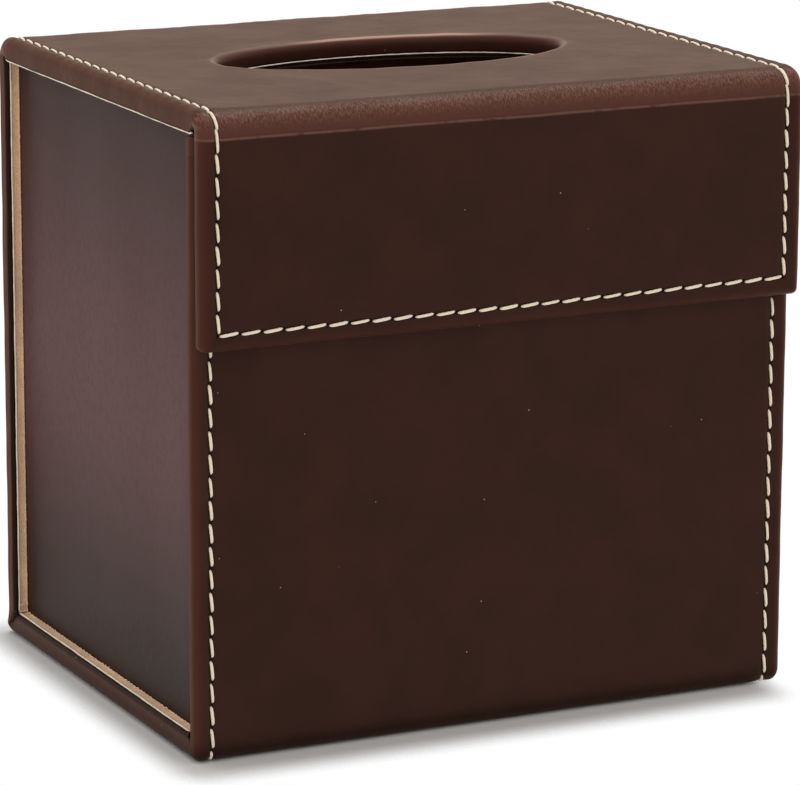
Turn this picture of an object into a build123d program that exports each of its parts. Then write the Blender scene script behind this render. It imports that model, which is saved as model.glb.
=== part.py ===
from build123d import *
import math
import os

# Overall size of the closed box, in millimetres
width = 154.0  # left to right, over the rolled edges
body_depth = 121.0  # face of the front wall to face of the back wall
height = 151.0  # floor to the top of the lid
flap_drop = 54.2  # top of the lid to the lower edge of the flap

# Finished thickness of the covered panels
base_panel = 5.8
back_panel = 5.8
lid_panel = 5.6
front_panel = 4.2
flap_panel = 4.2
side_panel = 5.1

# Layers of a covered panel, from outside to inside: leather, board, suede
leather = 1.1
suede = 0.7
edge_roll = 1.2  # leather turned over the edge of a board
side_skin = 0.9  # thinner leather on the side panels
side_recess = 3.4  # side panels stand this far inside the rolled edges

# Rounded edges and folds
edge_radius = 2.2  # leather rolled over the outer edge of a board
turned_radius = 0.9  # where the leather turns in against the lining
corner_radius = 2.6  # free corners of the front wall and of the flap
foot_radius = 3.9  # folds under the front and the back
fold_thickness = 3.0  # the two leather hinges have no board in them

# Gaps that let the lid and the flap move
lid_gap = 0.3  # lid lining above the rims
flap_gap = 0.6  # flap lining in front of the front wall

# Oval opening in the lid
slot_length = 90.0
slot_width = 43.0
lip_radius = 1.8
lining_show = 0.3  # cut edge of the lining that shows in the opening

# Saddle stitching
stitch_inset = 4.0  # middle of the seam from the rolled edge
stitch_pitch = 5.4
stitch_gap = 0.9
stitch_slant = 5.0  # degrees off the line of the seam
thread = 0.9
stitch_height = 0.6
groove_width = 1.5
groove = 0.3  # the seam lies in a shallow groove
base_groove = 0.7  # deeper under the box, so that it stands on leather

# Flap closure: magnets in the flap, steel keepers in the front wall
magnet_radius = 5.0
magnet_thickness = 1.6
keeper_radius = 6.0
keeper_thickness = 1.0
closure_width = 90.0
closure_rise = 14.0  # above the lower edge of the flap
pocket_clearance = 0.1

# Levels and faces worked out from the sizes above
inner_width = width - 2 * edge_roll
seam_width = width - 2 * stitch_inset
stitch_length = stitch_pitch - stitch_gap
fold_radius = lid_panel
overall_depth = body_depth + flap_panel + flap_gap
flap_face = -overall_depth / 2
wall_face = flap_face + flap_panel + flap_gap
back_face = wall_face + body_depth
wall_top = height - lid_panel - lid_gap
fold_level = height - fold_radius
lid_front = flap_face + fold_radius
lid_rear = back_face - fold_radius
lid_middle = (lid_front + lid_rear) / 2
flap_low = height - flap_drop
side_face = width / 2 - side_recess
side_front = wall_face + front_panel
side_rear = back_face - back_panel
closure_level = flap_low + closure_rise
flap_back = flap_face + flap_panel

# Section planes: Y points out of the leather face, Z runs along the panel
base_plane = Plane(origin=(0, wall_face, 0), x_dir=(1, 0, 0), z_dir=(0, 1, 0))
back_plane = Plane(origin=(0, back_face, base_panel), x_dir=(1, 0, 0), z_dir=(0, 0, 1))
lid_rear_plane = Plane(origin=(0, lid_rear, height), x_dir=(1, 0, 0), z_dir=(0, -1, 0))
lid_front_plane = Plane(origin=(0, lid_front, height), x_dir=(1, 0, 0), z_dir=(0, -1, 0))


def outer_section(plane, panel):
    """Full section of a covered panel, with its rolled edges."""
    with BuildSketch(plane) as section:
        with Locations((0, -panel / 2)):
            Rectangle(width, panel)
        outside = section.vertices().group_by(Axis.Y)[-1]
        fillet(outside, edge_radius)
        inside = section.vertices().group_by(Axis.Y)[0]
        fillet(inside, min(turned_radius, 0.9 * (panel - edge_radius)))
    return section.sketch


def leather_section(plane, panel):
    """Section of the leather alone: skin, rolled edges and a groove for each seam."""
    with BuildSketch(plane) as section:
        add(outer_section(Plane.XY, panel))
        with Locations((0, -(panel + leather) / 2)):
            Rectangle(inner_width, panel - leather, mode=Mode.SUBTRACT)
        with Locations((0, -groove / 2)):
            with GridLocations(seam_width, 1, 2, 1):
                Rectangle(groove_width, groove, mode=Mode.SUBTRACT)
    return section.sketch


def layer_section(plane, near, far):
    """Section of a board or a lining, from one depth under the leather face to another."""
    with BuildSketch(plane) as section:
        with Locations((0, -(near + far) / 2)):
            Rectangle(inner_width, far - near)
    return section.sketch


def upright_outline(depth, open_end, free_end, inset):
    """Front wall or flap seen from the front, its rounded free corners drawn in by inset."""
    far_end = free_end + math.copysign(inset, open_end - free_end)
    with BuildSketch(Plane.XZ.offset(-depth)) as outline:
        with Locations((0, (open_end + far_end) / 2)):
            Rectangle(width - 2 * inset, abs(open_end - far_end))
        free_corners = outline.vertices().filter_by(lambda corner: abs(corner.Y - far_end) < 0.01)
        fillet(free_corners, corner_radius - inset)
    return outline.sketch


def rolled_blank(face, panel, open_end, free_end):
    """Front wall or flap as a solid, its rolled edges rounded on three sides."""
    with BuildPart() as blank:
        extrude(upright_outline(face, open_end, free_end, 0), amount=-panel)
        for depth, radius in ((face, edge_radius), (face + panel, turned_radius)):
            around = blank.edges().filter_by_position(Axis.Y, depth - 0.01, depth + 0.01)
            rolled = around.filter_by(lambda edge: abs(edge.center().Z - open_end) > 0.01)
            fillet(rolled, radius)
    return blank.part


def seam_grooves(face, low, high):
    """Outline of the two upright grooves of the front wall or the flap."""
    with BuildSketch(Plane.XZ.offset(-face)) as grooves:
        with Locations((0, (low + high) / 2)):
            with GridLocations(seam_width, 1, 2, 1):
                Rectangle(groove_width, high - low)
    return grooves.sketch


def closure_discs(depth, radius):
    """Outline of the two discs of the flap closure."""
    with BuildSketch(Plane.XZ.offset(-depth)) as discs:
        with Locations((0, closure_level)):
            with GridLocations(closure_width, 1, 2, 1):
                Circle(radius)
    return discs.sketch


def side_layer(plane, near, far, below):
    """Section of one layer of a side panel, X out of the box and Y up from the base."""
    with BuildSketch(plane) as section:
        with Locations((side_face - (near + far) / 2, (wall_top - below - base_panel) / 2)):
            Rectangle(far - near, wall_top - below - base_panel)
    return section.sketch


def foot_profile(plane, inset, top):
    """Base seen from the side, drawn in from the leather face, with its two folds."""
    with BuildSketch(plane) as profile:
        with Locations((wall_face + body_depth / 2, (inset + top) / 2)):
            Rectangle(body_depth - 2 * inset, top - inset)
        fold = min(foot_radius, base_panel - suede) - inset
        fillet(profile.vertices().group_by(Axis.Y)[0], fold)
    return profile.sketch


def opening_oval(plane, grow):
    """Oval of the opening in the lid, grown all round."""
    with BuildSketch(plane) as oval:
        with Locations((0, lid_middle)):
            Ellipse(slot_length / 2 + grow, slot_width / 2 + grow)
    return oval.sketch


def seams(plane, run, slant):
    """Two columns of stitches along Y of the plane, which lies in the groove at mid-run."""
    count = max(1, round(run / stitch_pitch))
    with BuildSketch(plane) as columns:
        with GridLocations(seam_width, run / count, 2, count):
            SlotOverall(stitch_length, thread, rotation=90 + slant)
    return columns.sketch


def fold_stitch_planes(centre_y, centre_z, outer_radius, start, sweep):
    """Planes across a fold, square to its seam, one where each of its stitches begins."""
    arc = math.radians(sweep) * outer_radius
    count = max(1, round(arc / stitch_pitch))
    margin = (sweep - count * math.degrees(stitch_length / outer_radius)) / (2 * count)
    planes = []
    for number in range(count):
        angle = math.radians(start + number * sweep / count + margin)
        along = (0, -math.sin(angle), math.cos(angle))
        planes.append(Plane(origin=(0, centre_y, centre_z), x_dir=(1, 0, 0), z_dir=along))
    return planes


def stitch_cut(plane, floor_radius):
    """Cut ends of the left and right stitch of a fold."""
    with BuildSketch(plane) as ends:
        with Locations((0, floor_radius + stitch_height / 2)):
            with GridLocations(seam_width, 1, 2, 1):
                Rectangle(thread, stitch_height)
    return ends.sketch


# Base: leather tray with folds at the front and the back, board and lining
with BuildPart() as base_leather:
    extrude(foot_profile(Plane.YZ, 0, base_panel), amount=width / 2, both=True)
    extrude(outer_section(base_plane, base_panel), amount=body_depth, mode=Mode.INTERSECT)
    tray = foot_profile(Plane.YZ, leather, base_panel)
    extrude(tray, inner_width / 2, both=True, mode=Mode.SUBTRACT)
    for seam in (-seam_width / 2, seam_width / 2):
        with BuildSketch(Plane.YZ.offset(seam)) as channel:
            add(foot_profile(Plane.XY, 0, base_panel))
            add(foot_profile(Plane.XY, base_groove, base_panel), mode=Mode.SUBTRACT)
        extrude(amount=groove_width / 2, both=True, mode=Mode.SUBTRACT)
base_leather.part.label = "base_leather"

with BuildPart() as base_board:
    extrude(foot_profile(Plane.YZ, leather, base_panel - suede), inner_width / 2, both=True)
base_board.part.label = "base_board"

with BuildPart() as base_lining:
    with BuildSketch(Plane.XY.offset(base_panel - suede)):
        with Locations((0, wall_face + body_depth / 2)):
            Rectangle(inner_width, body_depth - 2 * leather)
    extrude(amount=suede)
base_lining.part.label = "base_lining"

with BuildPart() as base_stitching:
    middle = (0, wall_face + body_depth / 2, base_groove)
    seam_plane = Plane(origin=middle, x_dir=(1, 0, 0), z_dir=(0, 0, -1))
    extrude(seams(seam_plane, body_depth - 2 * foot_radius, stitch_slant), amount=stitch_height)
    for fold_y, start in ((wall_face + foot_radius, 180), (back_face - foot_radius, 270)):
        axis = Axis((0, fold_y, foot_radius), (1, 0, 0))
        for plane in fold_stitch_planes(fold_y, foot_radius, foot_radius, start, 90):
            cut = stitch_cut(plane, foot_radius - base_groove)
            revolve(cut, axis, revolution_arc=math.degrees(stitch_length / foot_radius))
base_stitching.part.label = "base_stitching"

# Front wall, with a rolled rim along the top and the two sides
seam_top = wall_top - stitch_inset
with BuildPart() as front_leather:
    add(rolled_blank(wall_face, front_panel, base_panel, wall_top))
    hollow = upright_outline(wall_face + leather, base_panel, wall_top, edge_roll)
    extrude(hollow, amount=-(front_panel - leather), mode=Mode.SUBTRACT)
    extrude(seam_grooves(wall_face, base_panel, seam_top), amount=-groove, mode=Mode.SUBTRACT)
front_leather.part.label = "front_leather"

with BuildPart() as front_board:
    stiffener = upright_outline(wall_face + leather, base_panel, wall_top, edge_roll)
    extrude(stiffener, amount=-(front_panel - leather - suede))
    pocket = closure_discs(wall_face + leather, keeper_radius + pocket_clearance)
    extrude(pocket, amount=-keeper_thickness, mode=Mode.SUBTRACT)
front_board.part.label = "front_board"

with BuildPart() as flap_keepers:
    extrude(closure_discs(wall_face + leather, keeper_radius), amount=-keeper_thickness)
flap_keepers.part.label = "flap_keepers"

with BuildPart() as front_lining:
    extrude(upright_outline(side_front - suede, base_panel, wall_top, edge_roll), amount=-suede)
front_lining.part.label = "front_lining"

with BuildPart() as front_stitching:
    middle = (0, wall_face + groove, (base_panel + seam_top) / 2)
    seam_plane = Plane(origin=middle, x_dir=(1, 0, 0), z_dir=(0, -1, 0))
    extrude(seams(seam_plane, seam_top - base_panel, stitch_slant), amount=stitch_height)
front_stitching.part.label = "front_stitching"

# Back wall, its lining turned over the board's upper end
back_length = fold_level - base_panel
with BuildPart() as back_leather:
    extrude(leather_section(back_plane, back_panel), amount=back_length)
back_leather.part.label = "back_leather"

with BuildPart() as back_board:
    extrude(layer_section(back_plane, leather, back_panel - suede), amount=back_length - suede)
back_board.part.label = "back_board"

with BuildPart() as back_lining:
    extrude(layer_section(back_plane, back_panel - suede, back_panel), amount=back_length)
    extrude(layer_section(back_plane.offset(back_length), leather, back_panel), amount=-suede)
back_lining.part.label = "back_lining"

with BuildPart() as back_stitching:
    middle = (0, back_face - groove, (base_panel + fold_level) / 2)
    seam_plane = Plane(origin=middle, x_dir=(-1, 0, 0), z_dir=(0, 1, 0))
    extrude(seams(seam_plane, back_length, stitch_slant), amount=stitch_height)
back_stitching.part.label = "back_stitching"

# Side panels, set back from the rolled edges: skin turned over the top edge, board and lining
side_parts = []
for name, side in (("left", -1), ("right", 1)):
    middle = (0, (side_front + side_rear) / 2, base_panel)
    upright = Plane(origin=middle, x_dir=(side, 0, 0), z_dir=(0, -side, 0))
    side_length = (side_rear - side_front) / 2
    with BuildPart() as side_leather:
        extrude(side_layer(upright, 0, side_panel, 0), side_length, both=True)
        top_edges = side_leather.edges().filter_by(Axis.Y).group_by(Axis.Z)[-1]
        fillet(top_edges, turned_radius)
        hollow = side_layer(upright, side_skin, side_panel, side_skin)
        extrude(hollow, side_length, both=True, mode=Mode.SUBTRACT)
    side_leather.part.label = name + "_side_leather"

    with BuildPart() as side_board:
        extrude(side_layer(upright, side_skin, side_panel - suede, side_skin), side_length, both=True)
    side_board.part.label = name + "_side_board"

    with BuildPart() as side_lining:
        extrude(side_layer(upright, side_panel - suede, side_panel, side_skin), side_length, both=True)
    side_lining.part.label = name + "_side_lining"
    side_parts += [side_leather.part, side_board.part, side_lining.part]

# Lid: leather with the turned-in lip of the oval opening, board and lining
lid_length = lid_rear - lid_front
with BuildPart() as lid_leather:
    extrude(leather_section(lid_rear_plane, lid_panel), amount=lid_length)
    collar_height = lid_panel - leather - suede
    extrude(opening_oval(Plane.XY.offset(height - leather), leather), amount=-collar_height)
    extrude(opening_oval(Plane.XY.offset(height), 0), amount=-lid_panel, mode=Mode.SUBTRACT)
    lip = lid_leather.edges().filter_by(GeomType.ELLIPSE).sort_by(Axis.Z)[-1]
    fillet(lip, lip_radius)
lid_leather.part.label = "lid_leather"

with BuildPart() as lid_board:
    stiffener = layer_section(lid_rear_plane.offset(suede), leather, lid_panel - suede)
    extrude(stiffener, amount=lid_length - 2 * suede)
    extrude(opening_oval(Plane.XY.offset(height), leather), amount=-lid_panel, mode=Mode.SUBTRACT)
lid_board.part.label = "lid_board"

with BuildPart() as lid_lining:
    extrude(layer_section(lid_rear_plane, lid_panel - suede, lid_panel), amount=lid_length)
    extrude(layer_section(lid_rear_plane, leather, lid_panel), amount=suede)
    extrude(layer_section(lid_front_plane, leather, lid_panel), amount=-suede)
    extrude(opening_oval(Plane.XY.offset(height), -lining_show), amount=-lid_panel, mode=Mode.SUBTRACT)
lid_lining.part.label = "lid_lining"

with BuildPart() as lid_stitching:
    seam_plane = Plane(origin=(0, lid_middle, height - groove), x_dir=(1, 0, 0), z_dir=(0, 0, 1))
    extrude(seams(seam_plane, lid_length, stitch_slant), amount=stitch_height)
lid_stitching.part.label = "lid_stitching"

# Leather hinges: the fold behind the lid, and the fold between the lid and the flap
rear_axis = Axis((0, lid_rear, fold_level), (-1, 0, 0))
with BuildPart() as rear_fold_leather:
    revolve(leather_section(lid_rear_plane, fold_thickness), rear_axis, revolution_arc=90)
rear_fold_leather.part.label = "rear_fold_leather"

with BuildPart() as rear_fold_lining:
    revolve(layer_section(lid_rear_plane, leather, leather + suede), rear_axis, revolution_arc=90)
rear_fold_lining.part.label = "rear_fold_lining"

front_axis = Axis((0, lid_front, fold_level), (1, 0, 0))
with BuildPart() as front_fold_leather:
    revolve(leather_section(lid_front_plane, fold_thickness), front_axis, revolution_arc=90)
front_fold_leather.part.label = "front_fold_leather"

with BuildPart() as front_fold_lining:
    revolve(layer_section(lid_front_plane, leather, leather + suede), front_axis, revolution_arc=90)
front_fold_lining.part.label = "front_fold_lining"

fold_floor = fold_radius - groove
fold_stitch_sweep = math.degrees(stitch_length / fold_radius)
with BuildPart() as rear_fold_stitching:
    for plane in fold_stitch_planes(lid_rear, fold_level, fold_radius, 0, 90):
        axis = Axis((0, lid_rear, fold_level), (1, 0, 0))
        revolve(stitch_cut(plane, fold_floor), axis, revolution_arc=fold_stitch_sweep)
rear_fold_stitching.part.label = "rear_fold_stitching"

with BuildPart() as front_fold_stitching:
    for plane in fold_stitch_planes(lid_front, fold_level, fold_radius, 90, 90):
        revolve(stitch_cut(plane, fold_floor), front_axis, revolution_arc=fold_stitch_sweep)
front_fold_stitching.part.label = "front_fold_stitching"

# Flap: leather rolled on three edges, board with magnet pockets, lining
seam_low = flap_low + stitch_inset
with BuildPart() as flap_leather:
    add(rolled_blank(flap_face, flap_panel, fold_level, flap_low))
    hollow = upright_outline(flap_face + leather, fold_level, flap_low, edge_roll)
    extrude(hollow, amount=-(flap_panel - leather), mode=Mode.SUBTRACT)
    extrude(seam_grooves(flap_face, seam_low, fold_level), amount=-groove, mode=Mode.SUBTRACT)
    with BuildSketch(Plane.XZ.offset(-flap_face)):
        with Locations((0, seam_low)):
            Rectangle(seam_width + groove_width, groove_width)
    extrude(amount=-groove, mode=Mode.SUBTRACT)
flap_leather.part.label = "flap_leather"

with BuildPart() as flap_board:
    stiffener = upright_outline(flap_face + leather, fold_level - suede, flap_low, edge_roll)
    extrude(stiffener, amount=-(flap_panel - leather - suede))
    pocket = closure_discs(flap_back - suede, magnet_radius + pocket_clearance)
    extrude(pocket, amount=magnet_thickness, mode=Mode.SUBTRACT)
flap_board.part.label = "flap_board"

with BuildPart() as flap_magnets:
    extrude(closure_discs(flap_back - suede, magnet_radius), amount=magnet_thickness)
flap_magnets.part.label = "flap_magnets"

with BuildPart() as flap_lining:
    extrude(upright_outline(flap_back - suede, fold_level, flap_low, edge_roll), amount=-suede)
    with BuildSketch(Plane.XZ.offset(-flap_back)):
        with Locations((0, fold_level - suede / 2)):
            Rectangle(inner_width, suede)
    extrude(amount=flap_panel - leather)
flap_lining.part.label = "flap_lining"

column_low = seam_low + stitch_pitch / 2
with BuildPart() as flap_stitching:
    middle = (0, flap_face + groove, (column_low + fold_level) / 2)
    seam_plane = Plane(origin=middle, x_dir=(1, 0, 0), z_dir=(0, -1, 0))
    extrude(seams(seam_plane, fold_level - column_low, stitch_slant), amount=stitch_height)
    row_start = (0, flap_face + groove, seam_low)
    row_count = round(seam_width / stitch_pitch)
    with BuildSketch(Plane(origin=row_start, x_dir=(1, 0, 0), z_dir=(0, -1, 0))):
        with GridLocations(seam_width / row_count, 1, row_count, 1):
            SlotOverall(stitch_length, thread, rotation=stitch_slant)
    extrude(amount=stitch_height)
flap_stitching.part.label = "flap_stitching"

# Write one file for each piece
os.makedirs("parts", exist_ok=True)
built = [
    base_leather, base_board, base_lining, base_stitching,
    front_leather, front_board, flap_keepers, front_lining, front_stitching,
    back_leather, back_board, back_lining, back_stitching,
    lid_leather, lid_board, lid_lining, lid_stitching,
    rear_fold_leather, rear_fold_lining, rear_fold_stitching,
    front_fold_leather, front_fold_lining, front_fold_stitching,
    flap_leather, flap_board, flap_magnets, flap_lining, flap_stitching,
]
for piece in [builder.part for builder in built] + side_parts:
    export_step(piece, "parts/" + piece.label + ".step")
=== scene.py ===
"""Looks of a leather tissue box holder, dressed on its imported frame."""

import math

import bmesh
import bpy
import numpy as np
from bpy.props import FloatProperty, FloatVectorProperty, IntProperty, PointerProperty
from mathutils import Matrix, Vector


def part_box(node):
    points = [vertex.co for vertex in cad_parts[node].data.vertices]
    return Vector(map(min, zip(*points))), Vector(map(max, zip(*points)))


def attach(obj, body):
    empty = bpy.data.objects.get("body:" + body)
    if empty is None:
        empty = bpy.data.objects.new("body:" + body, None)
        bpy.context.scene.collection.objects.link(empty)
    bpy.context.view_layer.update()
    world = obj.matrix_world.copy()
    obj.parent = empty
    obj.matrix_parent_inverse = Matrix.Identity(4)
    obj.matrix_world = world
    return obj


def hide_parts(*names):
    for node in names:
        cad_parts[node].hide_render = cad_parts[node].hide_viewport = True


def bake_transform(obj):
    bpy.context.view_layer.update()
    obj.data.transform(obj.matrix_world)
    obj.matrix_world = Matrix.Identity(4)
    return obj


bl_info = {
    "name": "Tissue Box Holder",
    "version": (1, 0, 0),
    "blender": (4, 5, 0),
    "location": "View3D > Sidebar > Tissue Box",
    "description": "Dresses a tissue box holder in stitched leather and suede",
    "category": "Object",
}

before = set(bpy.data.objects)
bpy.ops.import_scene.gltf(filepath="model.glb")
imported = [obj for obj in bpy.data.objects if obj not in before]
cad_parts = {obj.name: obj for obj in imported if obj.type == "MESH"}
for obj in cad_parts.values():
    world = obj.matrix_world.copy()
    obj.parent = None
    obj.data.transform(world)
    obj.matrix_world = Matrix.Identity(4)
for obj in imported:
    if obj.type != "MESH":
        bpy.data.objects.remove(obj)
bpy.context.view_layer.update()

MM = 0.001
FRONT, BASE, BACK = (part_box(name + "_leather") for name in ("front", "base", "back"))
LID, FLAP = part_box("lid_leather"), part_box("flap_leather")
REAR_HINGE = ("box", "lid", (0, BACK[1].y, BACK[1].z), (0, LID[1].y, LID[1].z))
FRONT_HINGE = ("lid", "flap", (0, LID[0].y, LID[1].z), (0, FLAP[0].y, FLAP[1].z))
# The finishes read these in place of the millimetres beside the seam; the leather finish paints shade where it reads
# the turned-in value
TURNED_IN_SHADE, NO_SEAM = -20.0, 8.0


# Settings


def length(name, default, description):
    """A size in metres for the panel."""
    return FloatProperty(name=name, default=default, description=description, unit="LENGTH", precision=4)


def angle(name, degrees, description):
    """An angle for the panel."""
    return FloatProperty(name=name, default=math.radians(degrees), description=description, subtype="ANGLE")


def colour(name, default, description):
    """A linear colour for the panel."""
    return FloatVectorProperty(
        name=name, default=default, description=description, subtype="COLOR", size=3, min=0.0, max=1.0
    )


class LeatherSizes(bpy.types.PropertyGroup):
    """Sizes of the leather sheet and of its rolled edges."""

    skin: length("Leather thickness", 0.0008, "Thickness of the sheet where it shows its edge")
    edge_radius: length("Edge radius", 0.0022, "Outer rounding of a rolled edge")
    turned_radius: length("Turned radius", 0.0009, "Rounding where the leather turns inside")
    edge_roll: length("Turned edge", 0.0012, "Width of the leather turned inside")
    corner_radius: length("Free corner", 0.0016, "Corner radius of the flap and of the front wall")
    foot_radius: length("Foot fold", 0.0033, "Radius of the two folds under the box")
    puff: length("Puffed edge", 0.00022, "How far the edge swells between the seam and the roll")
    wave: length("Unevenness", 0.00016, "Slow waves in the leather faces")
    wrinkle: length("Fold wrinkles", 0.00022, "Height of the wrinkles on the two leather hinges")


class SeamSizes(bpy.types.PropertyGroup):
    """Sizes of the saddle stitching."""

    inset: length("Seam inset", 0.004, "Distance of the seam from the rolled edge")
    drift: length("Drift", 0.0007, "How much farther in the seam runs on the right")
    pitch: length("Pitch", 0.0054, "From needle hole to needle hole")
    flap_pitch: length("Flap pitch", 0.00516, "From needle hole to needle hole on the flap's sides")
    left_start: length("Left start", 0.0078, "First hole on the left, from the front wall's rim")
    right_start: length("Right start", 0.0059, "First hole on the right, from the front wall's rim")
    foot_slip: length("Foot slip", 0.0022, "How far the holes at the right front foot are moved down")
    gap: length("Gap", 0.0009, "Leather that shows between two stitches")
    lid_gap: length("Lid gap", -0.0003, "The same on the lid, where the stitches overlap")
    thread: length("Thread", 0.00073, "Diameter of the waxed thread")
    arch: length("Arch", 0.00042, "How far the middle of a stitch stands above its ends")
    lean: length("Lean", 0.00045, "Sideways step from one end of a stitch to the other")
    groove: length("Groove", 0.00032, "Depth of the seam in the leather")
    seed: IntProperty(name="Seed", default=7, description="Seed of the stitches' small differences")


class SlotSizes(bpy.types.PropertyGroup):
    """Sizes of the oval opening in the lid."""

    width: length("Slot length", 0.088, "Opening from left to right")
    depth: length("Slot width", 0.043, "Opening from front to back")
    aside: length("Slot aside", -0.0005, "The opening's middle, to the right of the lid's middle")
    lip: length("Lip radius", 0.0018, "Rounding of the turned-in leather lip")


class Colours(bpy.types.PropertyGroup):
    """Linear colours of the leather, suede, thread and board."""

    leather: colour("Leather", (0.038, 0.0132, 0.0090), "Dark brown face of the wrap")
    # Painted light: this redder colour lies only on the lid's top face, where the top catches the light
    lid: colour("Lid", (0.060, 0.0180, 0.0070), "Face of the lid, a little redder")
    edge: colour("Edges", (0.098, 0.033, 0.024), "Redder leather where it is rolled or folded")
    side: colour("Sides", (0.056, 0.020, 0.022), "Purplish brown of the side panels")
    # Painted reflection: the paler middle band of the side panels
    side_worn: colour("Sheen on the sides", (0.113, 0.055, 0.068), "Paler middle of the side panels")
    suede: colour("Suede", (0.74, 0.54, 0.37), "Tan lining")
    cut_edge: colour("Cut edge", (1.0, 0.93, 0.82), "Raw edge of the lining")
    thread: colour("Thread", (1.0, 0.93, 0.81), "Cream waxed thread")
    board: colour("Board", (0.30, 0.20, 0.12), "Fibreboard inside the panels")


class Studio(bpy.types.PropertyGroup):
    """Camera, measured from the photograph, and light."""

    azimuth: angle("Azimuth", -25.816, "Turn of the view to the left")
    elevation: angle("Elevation", 13.244, "Height of the view over the floor")
    roll: angle("Roll", 0.198, "Turn of the view about its own line")
    distance: length("Distance", 1.0775, "From the camera to the middle of the box")
    aside: length("Aside", 0.003116, "The view's middle, to the right of the box's middle")
    above: length("Above", -0.008515, "The view's middle, above the box's middle")
    lens: FloatProperty(name="Lens", default=199.25, description="Focal length in millimetres on a 36 mm sensor")
    lamp: FloatProperty(name="Lamp", default=5.0, description="Power of the large soft lamp in watts")
    sky: FloatProperty(name="Surround", default=0.82, description="Strength of the even light all round")
    tint: colour("Warmth", (1.0, 0.90, 0.80), "Colour of the even light")


# The leather sheet as a path, seen from the side


def waver(a, b, seed):
    """Smooth unevenness between about -1 and 1, the same on every run."""
    total = np.sin(0.9 * a + 1.7 * b + seed) + np.sin(2.3 * a - 1.1 * b + 2.1 * seed)
    return (total + np.sin(1.3 * a + 3.1 * b + 3.7 * seed) + np.sin(-3.7 * a + 0.6 * b + 5.3 * seed)) / 4


def hump(distance, width):
    """1 at no distance, fading to both sides."""
    return np.exp(-((distance / width) ** 2))


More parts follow.
